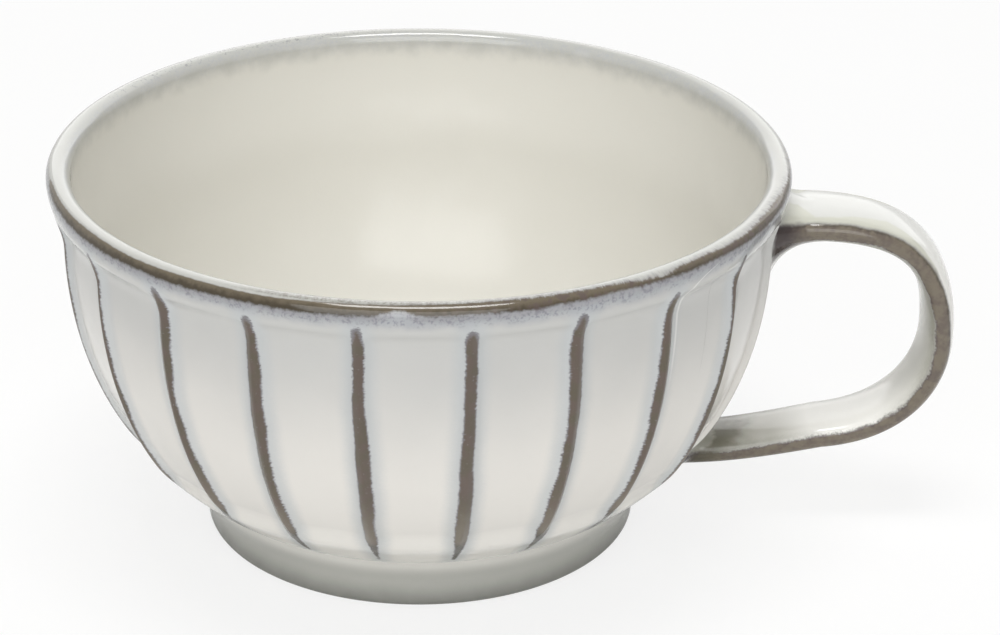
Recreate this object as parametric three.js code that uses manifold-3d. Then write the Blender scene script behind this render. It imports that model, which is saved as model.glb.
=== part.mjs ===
// Cappuccino cup in glazed stoneware: a fluted bowl on a foot ring, with a strap handle joined to its wall.
// Millimetres, +Z up. The cup stands on z = 0 and its handle points along +X.
import * as THREE from 'three';
import { mergeVertices } from 'three/addons/utils/BufferGeometryUtils.js';
import Module from 'manifold-3d';

// Overall sizes
const CUP_HEIGHT = 56;
const RIM_RADIUS = 52.5;
const CLEARANCE = 0.3;

// Lip: a round bead that stands out from the wall
const LIP_RADIUS = 1.7;
const LIP_FLARE = 1.5;
const LIP_FLARE_HEIGHT = 7;
const LIP_STEPS = 6;

// Wall and floor
const WALL_THICKNESS = 4;
const FLOOR_THICKNESS = 5;
const FLOOR_RADIUS = 22;
const BELLY_BASE = 8.2;
const BELLY_START = 32.7;
const BELLY_FULLNESS = 1.4;
const HOLLOW_FULLNESS = 2;
const WALL_STEPS = 12;
const FLARE_STEPS = 3;
const HOLLOW_STEPS = 7;

// Below the belly the wall tapers straight down to the neck over the foot ring
const TAPER_HEIGHT = 10;
const TAPER_RADIUS = 35;
const TAPER_SLOPE = 1.2;
const TAPER_BLEND = 1.5;
const NECK_RADIUS = 30.8;
const NECK_BLEND = 2.5;

// Foot ring
const FOOT_HEIGHT = 4.7;
const FOOT_RADIUS = 31.5;
const FOOT_WALL = 4.6;
const FOOT_EDGE = 1.4;
const FOOT_EDGE_STEPS = 3;
const FOOT_DRAFT = 0.6;
const FOOT_COLUMNS = 88;

// Flutes: shallow hollows with a narrow ridge between each two, one ridge under the handle
const FLUTE_COUNT = 22;
const FLUTE_DEPTH = 1.1;
const CREST_WIDTH = 1.2;
const RIDGE_WIDTH = 3;
const FLUTE_TOP_MARGIN = 3.5;
const FLUTE_TOP_FADE = 3;
const FLUTE_FOOT_MARGIN = 4;
const FLUTE_FOOT_FADE = 3.5;

// Handle: a strap with rounded edges, on a path in the XZ plane
const STRAP_TOP_WIDTH = 14.2;
const STRAP_LOW_WIDTH = 9.3;
const STRAP_THICKNESS = 4.5;
const STRAP_SQUARENESS = 2.5;
const STRAP_SIDES = 20;
const STRAP_STEPS = 36;
const HANDLE_PROJECTION = 24.6;
const HANDLE_DROP = 9.7;
const HANDLE_MIDDLE = 29.1;
const HANDLE_BOTTOM = 13.1;
const SHOULDER_REACH = 6.6;
const SHOULDER_ARCH = 1.5;
const SHOULDER_DROP = 3.5;
const ELBOW_DROP = 7.8;
const ELBOW_REACH = 5.3;
const ELBOW_RISE = 1.1;
const ARM_INSET = 16.5;
const ARM_RUN = 8;
const ARM_SLOPE = 0.22;
const LOW_END_HEIGHT = 10.4;
const LOW_END_DIP = 0.8;
const LOW_END_RUN = 8;

// Roots: the flared clay joints between the handle's two ends and the wall
const ROOT_LENGTH = 9;
const ROOT_STEPS = 7;
const ROOT_SINK = 3;
const UPPER_ROOT_SPREAD = 4.4;
const UPPER_ROOT_OUTSIDE = 2;
const UPPER_ROOT_INSIDE = 4.3;
const LOWER_ROOT_SPREAD = 7;
const LOWER_ROOT_OUTSIDE = 2.2;
const LOWER_ROOT_INSIDE = 4.6;

// Heights and radii that follow from the sizes above
const LIP_HEIGHT = CUP_HEIGHT - LIP_RADIUS;
const FLARE_BASE = LIP_HEIGHT - LIP_FLARE_HEIGHT;
const BELLY_RADIUS = RIM_RADIUS - LIP_FLARE;
const UNDERSIDE = FOOT_HEIGHT + CLEARANCE;
const FLOOR_TOP = UNDERSIDE + FLOOR_THICKNESS;
const FLUTE_TOP = CUP_HEIGHT - FLUTE_TOP_MARGIN;
const FLUTE_FOOT = UNDERSIDE + FLUTE_FOOT_MARGIN;
const HANDLE_TOP = CUP_HEIGHT - HANDLE_DROP;
const HANDLE_REACH = RIM_RADIUS + HANDLE_PROJECTION - STRAP_THICKNESS / 2;

const GLAZE = new THREE.MeshStandardMaterial({ color: 0xdedcd6, roughness: 0.2, metalness: 0 });
const FOOT_GLAZE = new THREE.MeshStandardMaterial({ color: 0xb4b2aa, roughness: 0.3, metalness: 0 });
const HANDLE_GLAZE = new THREE.MeshStandardMaterial({ color: 0xd8d5cd, roughness: 0.2, metalness: 0 });
const ROOT_GLAZE = new THREE.MeshStandardMaterial({ color: 0xc9c5bb, roughness: 0.25, metalness: 0 });

const wasm = await Module();
wasm.setup();

// Turns a geometry into one closed shell: shared vertices merged and collapsed triangles dropped.
function closeShell(geometry) {
  const bare = geometry.clone();
  bare.deleteAttribute('normal');
  bare.deleteAttribute('uv');
  const merged = mergeVertices(bare, 1e-4);
  const index = merged.index.array;
  const kept = [];
  for (let i = 0; i < index.length; i += 3) {
    const [a, b, c] = index.slice(i, i + 3);
    if (a !== b && b !== c && c !== a) {
      kept.push(a, b, c);
    }
  }
  merged.setIndex(kept);
  return merged;
}

function toManifold(geometry) {
  const shell = closeShell(geometry);
  const mesh = new wasm.Mesh({
    numProp: 3,
    vertProperties: new Float32Array(shell.attributes.position.array),
    triVerts: new Uint32Array(shell.index.array),
  });
  return new wasm.Manifold(mesh);
}

function toGeometry(manifold) {
  const mesh = manifold.getMesh();
  const geometry = new THREE.BufferGeometry();
  geometry.setAttribute('position', new THREE.BufferAttribute(mesh.vertProperties, 3));
  geometry.setIndex(new THREE.BufferAttribute(mesh.triVerts, 1));
  return geometry;
}

function addPiece(group, name, geometry, material) {
  const shell = closeShell(geometry);
  shell.computeVertexNormals();
  const piece = new THREE.Mesh(shell, material);
  piece.name = name;
  group.add(piece);
}

// Points on an arc about a centre, from one angle to another in degrees.
function arc(centreRadius, centreHeight, radius, from, to, steps) {
  const points = [];
  for (let i = 0; i <= steps; i += 1) {
    const angle = THREE.MathUtils.degToRad(THREE.MathUtils.lerp(from, to, i / steps));
    const x = centreRadius + radius * Math.cos(angle);
    const y = centreHeight + radius * Math.sin(angle);
    points.push(new THREE.Vector2(x, y));
  }
  return points;
}

// A quarter of a superellipse: level at the base, upright at the top.
function swell(height, base, top, innerRadius, outerRadius, fullness) {
  const rise = THREE.MathUtils.clamp((height - base) / (top - base), 0, 1);
  const share = (1 - (1 - rise) ** 2) ** (1 / fullness);
  return THREE.MathUtils.lerp(innerRadius, outerRadius, share);
}

// The lesser of two values, rounded where they are closer than the blend.
function softMin(first, second, blend) {
  const near = Math.max(blend - Math.abs(first - second), 0);
  return Math.min(first, second) - near ** 2 / (4 * blend);
}

function softMax(first, second, blend) {
  return -softMin(-first, -second, blend);
}

// Outside of the wall along the ridges: the neck, the taper, the belly and the lip's flare.
function wallRadius(height) {
  const taper = TAPER_RADIUS + TAPER_SLOPE * (height - TAPER_HEIGHT);
  const belly = swell(height, BELLY_BASE, FLARE_BASE, BELLY_START, BELLY_RADIUS, BELLY_FULLNESS);
  const wall = softMax(softMin(taper, belly, TAPER_BLEND), NECK_RADIUS, NECK_BLEND);
  return wall + LIP_FLARE * THREE.MathUtils.smoothstep(height, FLARE_BASE, LIP_HEIGHT);
}

function hollowRadius(height) {
  const wall = BELLY_RADIUS - WALL_THICKNESS;
  const lip = RIM_RADIUS - 2 * LIP_RADIUS;
  const flare = (lip - wall) * THREE.MathUtils.smoothstep(height, FLARE_BASE, LIP_HEIGHT);
  return swell(height, FLOOR_TOP, FLARE_BASE, FLOOR_RADIUS, wall, HOLLOW_FULLNESS) + flare;
}

// Heights from a base up, close together near it, where the form turns under.
function swellHeights(base, top, steps) {
  const heights = [];
  for (let i = 0; i <= steps; i += 1) {
    heights.push(base + (top - base) * (1 - Math.cos((i / steps) * Math.PI / 2)));
  }
  return heights;
}

function flareHeights() {
  const heights = [];
  for (let i = 1; i < FLARE_STEPS; i += 1) {
    heights.push(FLARE_BASE + (LIP_FLARE_HEIGHT * i) / FLARE_STEPS);
  }
  return heights;
}

// The outside of the bowl from the underside's middle up to the widest point of the lip.
function outerProfile() {
  const underside = new THREE.Vector2(0, UNDERSIDE);
  const heights = [...swellHeights(UNDERSIDE, FLARE_BASE, WALL_STEPS), ...flareHeights(), LIP_HEIGHT];
  const wall = heights.map((height) => new THREE.Vector2(wallRadius(height), height));
  return [underside, ...wall];
}

// The lip over its top and the hollow down to the floor's middle.
function innerProfile() {
  const lip = arc(RIM_RADIUS - LIP_RADIUS, LIP_HEIGHT, LIP_RADIUS, 0, 180, LIP_STEPS).slice(1);
  const heights = [...swellHeights(FLOOR_TOP, FLARE_BASE, HOLLOW_STEPS), ...flareHeights()].reverse();
  const hollow = heights.map((height) => new THREE.Vector2(hollowRadius(height), height));
  const floor = new THREE.Vector2(0, FLOOR_TOP);
  return [...lip, ...hollow, floor];
}

// Each flute has six columns: crest, crest edge, ridge foot, middle, ridge foot, crest edge.
// A column's place is an arc length from the ridge, or half a pitch, and its depth a share of the flute's.
const FLUTE_COLUMNS = [
  { offset: 0, depth: 0 },
  { offset: CREST_WIDTH / 2, depth: 0.15 },
  { offset: RIDGE_WIDTH / 2, depth: 0.65 },
  { middle: true, depth: 1 },
  { offset: -RIDGE_WIDTH / 2, depth: 0.65, next: true },
  { offset: -CREST_WIDTH / 2, depth: 0.15, next: true },
];

function columnAngle(column, radius) {
  const pitch = (2 * Math.PI) / FLUTE_COUNT;
  const ridge = Math.floor(column / FLUTE_COLUMNS.length);
  const place = FLUTE_COLUMNS[column % FLUTE_COLUMNS.length];
  if (place.middle) {
    return Math.PI / 2 + (ridge + 0.5) * pitch;
  }
  const nearest = place.next ? ridge + 1 : ridge;
  return Math.PI / 2 + nearest * pitch + place.offset / Math.max(radius, NECK_RADIUS);
}

// Flutes run out below the lip and down the taper.
function fluteFade(height) {
  const low = THREE.MathUtils.smoothstep(height, FLUTE_FOOT, FLUTE_FOOT + FLUTE_FOOT_FADE);
  const high = THREE.MathUtils.smoothstep(height, FLUTE_TOP - FLUTE_TOP_FADE, FLUTE_TOP);
  return low * (1 - high);
}

// Revolves a profile and presses the flutes into its first rows.
function flutedRevolve(profile, flutedRows) {
  const columns = FLUTE_COUNT * FLUTE_COLUMNS.length;
  const geometry = new THREE.LatheGeometry(profile, columns);
  const position = geometry.attributes.position;
  for (let i = 0; i < position.count; i += 1) {
    const row = i % profile.length;
    const column = Math.floor(i / profile.length) % columns;
    const { x: radius, y: height } = profile[row];
    const share = FLUTE_COLUMNS[column % FLUTE_COLUMNS.length].depth;
    const depth = row < flutedRows ? FLUTE_DEPTH * share * fluteFade(height) : 0;
    const angle = columnAngle(column, radius);
    const reach = radius - depth;
    position.setXYZ(i, reach * Math.sin(angle), -reach * Math.cos(angle), height);
  }
  return geometry;
}

function makeBowl() {
  const outer = outerProfile();
  return flutedRevolve([...outer, ...innerProfile()], outer.length);
}

// The bowl's outside grown by the clearance and filled, to cut what is seated on it.
function makeWallCutter() {
  const outer = outerProfile();
  const grown = outer.map((point, i) => {
    const before = outer[Math.max(i - 1, 0)];
    const after = outer[Math.min(i + 1, outer.length - 1)];
    const along = after.clone().sub(before).normalize();
    const radius = Math.max(point.x + along.y * CLEARANCE, 0);
    return new THREE.Vector2(i === 0 ? 0 : radius, point.y - along.x * CLEARANCE);
  });
  const lid = [new THREE.Vector2(RIM_RADIUS, CUP_HEIGHT), new THREE.Vector2(0, CUP_HEIGHT)];
  return toManifold(flutedRevolve([...grown, ...lid], grown.length));
}

function makeFootRing() {
  const inside = FOOT_RADIUS - FOOT_WALL;
  const profile = [
    ...arc(inside + FOOT_EDGE, FOOT_EDGE, FOOT_EDGE, 180, 270, FOOT_EDGE_STEPS),
    ...arc(FOOT_RADIUS - FOOT_EDGE, FOOT_EDGE, FOOT_EDGE, 270, 360, FOOT_EDGE_STEPS),
    new THREE.Vector2(wallRadius(UNDERSIDE), FOOT_HEIGHT),
    new THREE.Vector2(inside - FOOT_DRAFT, FOOT_HEIGHT),
  ];
  const ring = new THREE.LatheGeometry([...profile, profile[0]], FOOT_COLUMNS);
  return ring.rotateX(Math.PI / 2);
}

// The handle's mid-line, from inside the wall at the top round to inside the wall at the bottom.
function handlePath() {
  const at = (x, z) => new THREE.Vector3(x, 0, z);
  const topRoot = at(wallRadius(HANDLE_TOP) - ROOT_SINK, HANDLE_TOP);
  const farthest = at(HANDLE_REACH, HANDLE_MIDDLE);
  const armX = HANDLE_REACH - ARM_INSET;
  const arm = at(armX, HANDLE_BOTTOM);
  const lowRoot = at(wallRadius(LOW_END_HEIGHT) - ROOT_SINK, LOW_END_HEIGHT);
  const path = new THREE.CurvePath();
  path.add(new THREE.CubicBezierCurve3(
    topRoot,
    at(HANDLE_REACH - SHOULDER_REACH, HANDLE_TOP + SHOULDER_ARCH),
    at(HANDLE_REACH, HANDLE_TOP - SHOULDER_DROP),
    farthest,
  ));
  path.add(new THREE.CubicBezierCurve3(
    farthest,
    at(HANDLE_REACH, HANDLE_MIDDLE - ELBOW_DROP),
    at(HANDLE_REACH - ELBOW_REACH, HANDLE_BOTTOM + ELBOW_RISE),
    arm,
  ));
  path.add(new THREE.CubicBezierCurve3(
    arm,
    at(armX - ARM_RUN, HANDLE_BOTTOM - ARM_RUN * ARM_SLOPE),
    at(lowRoot.x + LOW_END_RUN, LOW_END_HEIGHT - LOW_END_DIP),
    lowRoot,
  ));
  return path;
}

// The strap narrows evenly from the upper root to the lower one.
function strapWidth(path, distance) {
  return THREE.MathUtils.lerp(STRAP_TOP_WIDTH, STRAP_LOW_WIDTH, distance / path.getLength());
}

// Lofts a rounded section along a stretch of the path. Each station's section comes from sectionAt:
// its width, how far it reaches to the outside of the loop, and how far to the inside.
function loftStrap(path, from, to, steps, sectionAt) {
  const length = path.getLength();
  const across = new THREE.Vector3(0, 1, 0);
  const power = 2 / STRAP_SQUARENESS;
  const rounded = (value) => Math.sign(value) * Math.abs(value) ** power;
  const vertices = [];
  const triangles = [];
  for (let i = 0; i <= steps; i += 1) {
    const distance = THREE.MathUtils.lerp(from, to, i / steps);
    const section = sectionAt(distance);
    const outward = path.getTangentAt(distance / length).cross(across);
    const centre = path.getPointAt(distance / length);
    centre.addScaledVector(outward, (section.outside - section.inside) / 2);
    for (let j = 0; j < STRAP_SIDES; j += 1) {
      const angle = (j / STRAP_SIDES) * 2 * Math.PI;
      const point = centre.clone();
      point.addScaledVector(across, (section.width / 2) * rounded(Math.cos(angle)));
      point.addScaledVector(outward, ((section.outside + section.inside) / 2) * rounded(Math.sin(angle)));
      vertices.push(...point.toArray());
    }
  }
  for (let i = 0; i < steps; i += 1) {
    const here = i * STRAP_SIDES;
    const ahead = here + STRAP_SIDES;
    for (let j = 0; j < STRAP_SIDES; j += 1) {
      const next = (j + 1) % STRAP_SIDES;
      triangles.push(here + j, here + next, ahead + next, here + j, ahead + next, ahead + j);
    }
  }
  const last = steps * STRAP_SIDES;
  for (let j = 1; j < STRAP_SIDES - 1; j += 1) {
    triangles.push(0, j + 1, j, last, last + j, last + j + 1);
  }
  const geometry = new THREE.BufferGeometry();
  geometry.setAttribute('position', new THREE.Float32BufferAttribute(vertices, 3));
  geometry.setIndex(triangles);
  return geometry;
}

function makeHandle(path) {
  const start = ROOT_SINK + ROOT_LENGTH;
  const end = path.getLength() - start;
  return loftStrap(path, start, end, STRAP_STEPS, (distance) => ({
    width: strapWidth(path, distance),
    outside: STRAP_THICKNESS / 2,
    inside: STRAP_THICKNESS / 2,
  }));
}

// A joint that spreads from the strap's end to a wider seat on the wall.
function makeRoot(path, atTop, wallCutter) {
  const length = path.getLength();
  const strapEnd = ROOT_SINK + ROOT_LENGTH - CLEARANCE;
  const spread = atTop ? UPPER_ROOT_SPREAD : LOWER_ROOT_SPREAD;
  const flareOutside = atTop ? UPPER_ROOT_OUTSIDE : LOWER_ROOT_OUTSIDE;
  const flareInside = atTop ? UPPER_ROOT_INSIDE : LOWER_ROOT_INSIDE;
  const sectionAt = (distance) => {
    const fromRoot = atTop ? distance : length - distance;
    const flare = THREE.MathUtils.clamp((strapEnd - fromRoot) / ROOT_LENGTH, 0, 1) ** 2;
    return {
      width: strapWidth(path, distance) + spread * flare,
      outside: STRAP_THICKNESS / 2 + flareOutside * flare,
      inside: STRAP_THICKNESS / 2 + flareInside * flare,
    };
  };
  const from = atTop ? 0 : length - strapEnd;
  const to = atTop ? strapEnd : length;
  const blank = toManifold(loftStrap(path, from, to, ROOT_STEPS, sectionAt));
  return toGeometry(blank.subtract(wallCutter));
}

const cup = new THREE.Group();
const path = handlePath();
const wallCutter = makeWallCutter();
addPiece(cup, 'bowl', makeBowl(), GLAZE);
addPiece(cup, 'foot_ring', makeFootRing(), FOOT_GLAZE);
addPiece(cup, 'handle', makeHandle(path), HANDLE_GLAZE);
addPiece(cup, 'upper_handle_root', makeRoot(path, true, wallCutter), ROOT_GLAZE);
addPiece(cup, 'lower_handle_root', makeRoot(path, false, wallCutter), ROOT_GLAZE);

// The origin lies on the table, under the middle of the whole outline with its handle.
const outline = new THREE.Box3().setFromObject(cup);
cup.position.x = -(outline.min.x + outline.max.x) / 2;

export default cup;
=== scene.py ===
"""Looks of the cappuccino cup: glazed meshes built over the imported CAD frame.

Shapes are worked out in millimetres about the cup's own axis and then placed in the frame, in metres.
An azimuth is measured from -Y, the side that faces the camera, towards +X, where the handle is.
"""

import math

import bpy
import numpy as np
from mathutils import Matrix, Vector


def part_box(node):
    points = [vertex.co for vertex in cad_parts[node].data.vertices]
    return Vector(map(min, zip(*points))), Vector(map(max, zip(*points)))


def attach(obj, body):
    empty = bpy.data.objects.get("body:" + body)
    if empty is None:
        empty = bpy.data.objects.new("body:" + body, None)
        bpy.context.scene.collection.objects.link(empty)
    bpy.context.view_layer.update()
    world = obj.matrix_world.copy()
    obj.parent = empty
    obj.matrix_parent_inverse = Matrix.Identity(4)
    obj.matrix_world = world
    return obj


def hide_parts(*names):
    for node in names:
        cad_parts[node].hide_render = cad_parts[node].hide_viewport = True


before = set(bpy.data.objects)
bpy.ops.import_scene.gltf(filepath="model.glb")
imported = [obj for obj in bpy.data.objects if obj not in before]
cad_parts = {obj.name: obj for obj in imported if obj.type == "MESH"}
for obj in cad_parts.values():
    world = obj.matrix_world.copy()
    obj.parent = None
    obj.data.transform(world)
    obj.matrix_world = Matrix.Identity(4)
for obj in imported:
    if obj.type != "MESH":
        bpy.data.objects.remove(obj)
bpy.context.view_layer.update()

MM = 0.001


def node_box(name):
    """Lowest and highest corner of a CAD node, in millimetres."""
    low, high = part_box(name)
    return np.array(low) / MM, np.array(high) / MM


# Sizes that the frame gives
bowl_low, bowl_high = node_box("bowl")
foot_low, foot_high = node_box("foot_ring")
handle_high = node_box("handle")[1]
AXIS_X = (bowl_low[0] + bowl_high[0]) / 2
RIM_RADIUS = (bowl_high[0] - bowl_low[0]) / 2
CUP_HEIGHT = bowl_high[2]
UNDERSIDE = bowl_low[2]
FOOT_RADIUS = (foot_high[0] - foot_low[0]) / 2

# Lip, wall and floor
LIP_RADIUS = 1.7
LIP_FLARE = 1.5
LIP_FLARE_HEIGHT = 7.0
HOLLOW_FLARE_HEIGHT = 16.0
WALL_THICKNESS = 4.0
FLOOR_THICKNESS = 5.0
FLOOR_RADIUS = 22.0
BELLY_BASE = 8.2
BELLY_START = 32.7
BELLY_FULLNESS = 1.5
HOLLOW_FULLNESS = 2.0
LIP_HEIGHT = CUP_HEIGHT - LIP_RADIUS
FLARE_BASE = LIP_HEIGHT - LIP_FLARE_HEIGHT
BELLY_RADIUS = RIM_RADIUS - LIP_FLARE
FLOOR_TOP = UNDERSIDE + FLOOR_THICKNESS

# Taper, neck and foot ring
TAPER_HEIGHT = 10.0
TAPER_RADIUS = 36.0
TAPER_SLOPE = 1.1
TAPER_BLEND = 1.5
NECK_INSET = 0.1
NECK_RADIUS = FOOT_RADIUS - NECK_INSET
NECK_BLEND = 3.0
FOOT_TAPER = 0.2
FOOT_WALL = 4.6
FOOT_EDGE = 1.2
FOOT_DRAFT = 0.6
RECESS_FILLET = 1.4

# Flutes
FLUTE_COUNT = 22
FLUTE_DEPTH = 1.1
FLUTE_TOP_MARGIN = 3.5
FLUTE_TOP = CUP_HEIGHT - FLUTE_TOP_MARGIN
FLUTE_TOP_FADE = 3.0
FLUTE_FOOT_MARGIN = 8.5
FLUTE_FOOT = UNDERSIDE + FLUTE_FOOT_MARGIN
FLUTE_FOOT_FADE = 3.0
BEAD_HALF_WIDTH = 1.7
BEAD_SHARE = 0.65
PITCH = 2 * math.pi / FLUTE_COUNT
FIRST_RIDGE = math.pi / 2

# Handle
STRAP_TOP_WIDTH = 14.2
STRAP_LOW_WIDTH = 9.3
STRAP_THICKNESS = 4.5
STRAP_SQUARENESS = 2.5
HANDLE_REACH = handle_high[0] - AXIS_X - STRAP_THICKNESS / 2
HANDLE_DROP = 9.7
HANDLE_TOP = CUP_HEIGHT - HANDLE_DROP
HANDLE_MIDDLE = 29.1
HANDLE_BOTTOM = 13.1
SHOULDER_REACH = 6.6
SHOULDER_ARCH = 1.5
SHOULDER_DROP = 3.5
ELBOW_DROP = 7.8
ELBOW_REACH = 5.3
ELBOW_RISE = 1.1
ARM_INSET = 16.5
ARM_RUN = 8.0
ARM_SLOPE = 0.22
LOW_END_HEIGHT = 10.4
LOW_END_DIP = 0.8
LOW_END_RUN = 8.0
ROOT_LENGTH = 9.0
ROOT_SINK = 3.0
ROOT_LEAD = 6.0

# How far each root's fillet runs along the strap and spreads over the wall, and how high its collar rolls
UPPER_ROOT = {"along": 6.0, "along_inside": 11.0, "side": 2.6, "outside": 3.0, "inside": 10.5, "collar": 0.5}
LOWER_ROOT = {"along": 5.0, "along_inside": 5.0, "side": 5.5, "outside": 6.5, "inside": 4.4, "collar": 1.5}

# A rolled collar on each fillet, at shares of the way from the strap to the wall
COLLAR_START = 0.0
COLLAR_CREST = 0.4
COLLAR_END = 1.0

# Sines of the section's angle between which the collar fades out towards the inner face
COLLAR_FADE_LOW = -0.6
COLLAR_FADE_HIGH = 0.2

# How deep a root lies in the wall at the fillet's edge, at the row tucked in beyond it, and at its hub
LANDING_SINK = 0.06
TUCK_REACH = 0.8
TUCK_SINK = 0.8
HUB_SINK = 2.0
# How far from the mid-line's end the search for the wall stops
ROOT_MARGIN = 0.5

# Mesh density
RIDGE_OFFSETS = np.array([0, 0.25, 0.5, 0.75, 1.0, 1.3, 1.7, 2.2])
PANEL_STEPS = 4
WALL_STEP = 0.8
LIP_ROWS = 26
HOLLOW_STEP = 1.3
STRAP_SIDES = 80
STRAP_STEP = 0.7
FILLET_ROWS = 20
ROOT_STRAP_ROWS = 8
ROOT_TRIALS = 400
CURVE_STEPS = 120
TURN_STEPS = 240
FLARE_POINTS = 60
FOOT_POINTS = 14
FOOT_ARC_STEPS = 8
UNDER_RADII = [2, 8, 14, 20, 25, 28]
FLOOR_HUB_RADIUS = 2.0


def smoothstep(value, low, high):
    """Goes smoothly from 0 to 1 as a value goes from low to high."""
    share = np.clip((value - low) / (high - low), 0, 1)
    return share * share * (3 - 2 * share)


def linear(code):
    """A colour written as #rrggbb, as linear RGBA."""
    channels = [int(code[i:i + 2], 16) / 255 for i in (1, 3, 5)]
    return [c / 12.92 if c <= 0.04045 else ((c + 0.055) / 1.055) ** 2.4 for c in channels] + [1.0]


def unit(vectors):
    return vectors / np.linalg.norm(vectors, axis=-1, keepdims=True)


class Line:
    """A line in a plane, read by the distance run along it."""

    def __init__(self, points):
        self.points = np.asarray(points, float)
        steps = np.linalg.norm(np.diff(self.points, axis=0), axis=1)
        self.runs = np.concatenate([[0.0], np.cumsum(steps)])
        self.length = self.runs[-1]
        self.slopes = np.gradient(self.points, self.runs, axis=0)

    def at(self, run):
        """The point at a run."""
        return np.stack([np.interp(run, self.runs, self.points[:, i]) for i in (0, 1)], -1)

    def along(self, run):
        """The unit tangent at a run."""
        return unit(np.stack([np.interp(run, self.runs, self.slopes[:, i]) for i in (0, 1)], -1))


def arc(centre_radius, centre_height, radius, start, end, steps):
    """Points of radius and height on an arc, from one angle to another in degrees."""
    angle = np.radians(np.linspace(start, end, steps + 1))
    return np.stack([centre_radius + radius * np.cos(angle), centre_height + radius * np.sin(angle)], -1)


def place(azimuth, radius, height):
    """Points about the cup's axis."""
    return np.stack([radius * np.sin(azimuth), -radius * np.cos(azimuth), height], -1)


def level_ring(azimuth, radius, height):
    """Points of one radius and one height."""
    return place(azimuth, np.full_like(azimuth, radius), np.full_like(azimuth, height))


# Outline of the bowl

def swell(height, base, top, inner, outer, fullness):
    """A quarter of a superellipse: level at the base, upright at the top."""
    rise = np.clip((height - base) / (top - base), 0, 1)
    return inner + (outer - inner) * (1 - (1 - rise) ** 2) ** (1 / fullness)


def soft_min(first, second, blend):
    """The lesser of two values, rounded where they are closer than the blend."""
    near = np.maximum(blend - np.abs(first - second), 0)
    return np.minimum(first, second) - near ** 2 / (4 * blend)


def wall_radius(height):
    """Radius of the outside before fluting."""
    taper = TAPER_RADIUS + TAPER_SLOPE * (height - TAPER_HEIGHT)
    belly = swell(height, BELLY_BASE, FLARE_BASE, BELLY_START, BELLY_RADIUS, BELLY_FULLNESS)
    wall = -soft_min(-soft_min(taper, belly, TAPER_BLEND), -NECK_RADIUS, NECK_BLEND)
    return wall + LIP_FLARE * smoothstep(height, FLARE_BASE, LIP_HEIGHT)


def hollow_radius(height):
    """Radius of the inside, which widens towards the lip."""
    wall = BELLY_RADIUS - WALL_THICKNESS
    lip_edge = RIM_RADIUS - 2 * LIP_RADIUS
    flare = (lip_edge - wall) * smoothstep(height, LIP_HEIGHT - HOLLOW_FLARE_HEIGHT, LIP_HEIGHT)
    return swell(height, FLOOR_TOP, FLARE_BASE, FLOOR_RADIUS, wall, HOLLOW_FULLNESS) + flare


def swell_heights(base):
    """Heights from a base up to the lip, close together where the form turns under."""
    turn = np.linspace(0, math.pi / 2, TURN_STEPS + 1)[1:]
    flare = np.linspace(FLARE_BASE, LIP_HEIGHT, FLARE_POINTS)[1:]
    return np.concatenate([base + (FLARE_BASE - base) * (1 - np.cos(turn)), flare])


def make_wall_line():
    """The outside from the foot's top edge up to the widest point of the lip."""
    heights = np.concatenate([[UNDERSIDE], swell_heights(UNDERSIDE)])
    return Line(np.stack([wall_radius(heights), heights], -1))


def make_hollow_line():
    """The inside from the lip's inner edge down to the middle of the floor."""
    heights = swell_heights(FLOOR_TOP)[::-1]
    floor = [[FLOOR_RADIUS, FLOOR_TOP], [FLOOR_RADIUS / 2, FLOOR_TOP], [0, FLOOR_TOP]]
    return Line(np.concatenate([np.stack([hollow_radius(heights), heights], -1), floor]))


wall_line = make_wall_line()
hollow_line = make_hollow_line()


def ridge_angle(azimuth):
    """Signed angle from the nearest ridge."""
    return (azimuth - FIRST_RIDGE + PITCH / 2) % PITCH - PITCH / 2


def flute_depth(offset, half_pitch, height):
    """How deep the wall is pressed in at a distance from the ridge: a round bead, then a shallow hollow."""
    low = smoothstep(height, FLUTE_FOOT, FLUTE_FOOT + FLUTE_FOOT_FADE)
    high = 1 - smoothstep(height, FLUTE_TOP - FLUTE_TOP_FADE, FLUTE_TOP)
    bead = BEAD_SHARE * smoothstep(np.abs(offset), 0, BEAD_HALF_WIDTH)
    hollow = (1 - BEAD_SHARE) * (1 - (1 - np.abs(offset) / half_pitch) ** 2)
    return FLUTE_DEPTH * low * high * (bead + hollow)


def wall_surface(azimuth, run, sink=0.0):
    """A point of the fluted outside, and its outward normal before fluting."""
    radius, height = np.moveaxis(wall_line.at(run), -1, 0)
    slope_radius, slope_height = np.moveaxis(wall_line.along(run), -1, 0)
    depth = sink + flute_depth(ridge_angle(azimuth) * radius, PITCH / 2 * radius, height)
    point = place(azimuth, radius - depth * slope_height, height + depth * slope_radius)
    return point, place(azimuth, slope_height, -slope_radius)


def seam_normals(azimuth):
    """Normals where the bowl meets the foot, the same on both pieces."""
    return wall_surface(azimuth, np.zeros_like(azimuth))[1]


def column_azimuths(radius):
    """Azimuths of the mesh columns: at fixed distances from each ridge, then evenly over the panel."""
    half = PITCH / 2 * radius
    last = RIDGE_OFFSETS[-1]
    panel = last + (half - last) * np.arange(1, PANEL_STEPS + 1) / PANEL_STEPS
    one_side = np.concatenate([RIDGE_OFFSETS, panel]) / radius
    one_pitch = np.concatenate([one_side, PITCH - one_side[-2:0:-1]])
    return (FIRST_RIDGE + PITCH * np.arange(FLUTE_COUNT)[:, None] + one_pitch).ravel()


# Meshes

def surface_normals(grid):
    """Unit normals of a grid of points whose columns close on themselves."""
    down = np.gradient(grid, axis=0)
    around = np.roll(grid, -1, axis=1) - np.roll(grid, 1, axis=1)
    normal = np.cross(around, down)
    return normal / np.maximum(np.linalg.norm(normal, axis=-1, keepdims=True), 1e-12)


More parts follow.
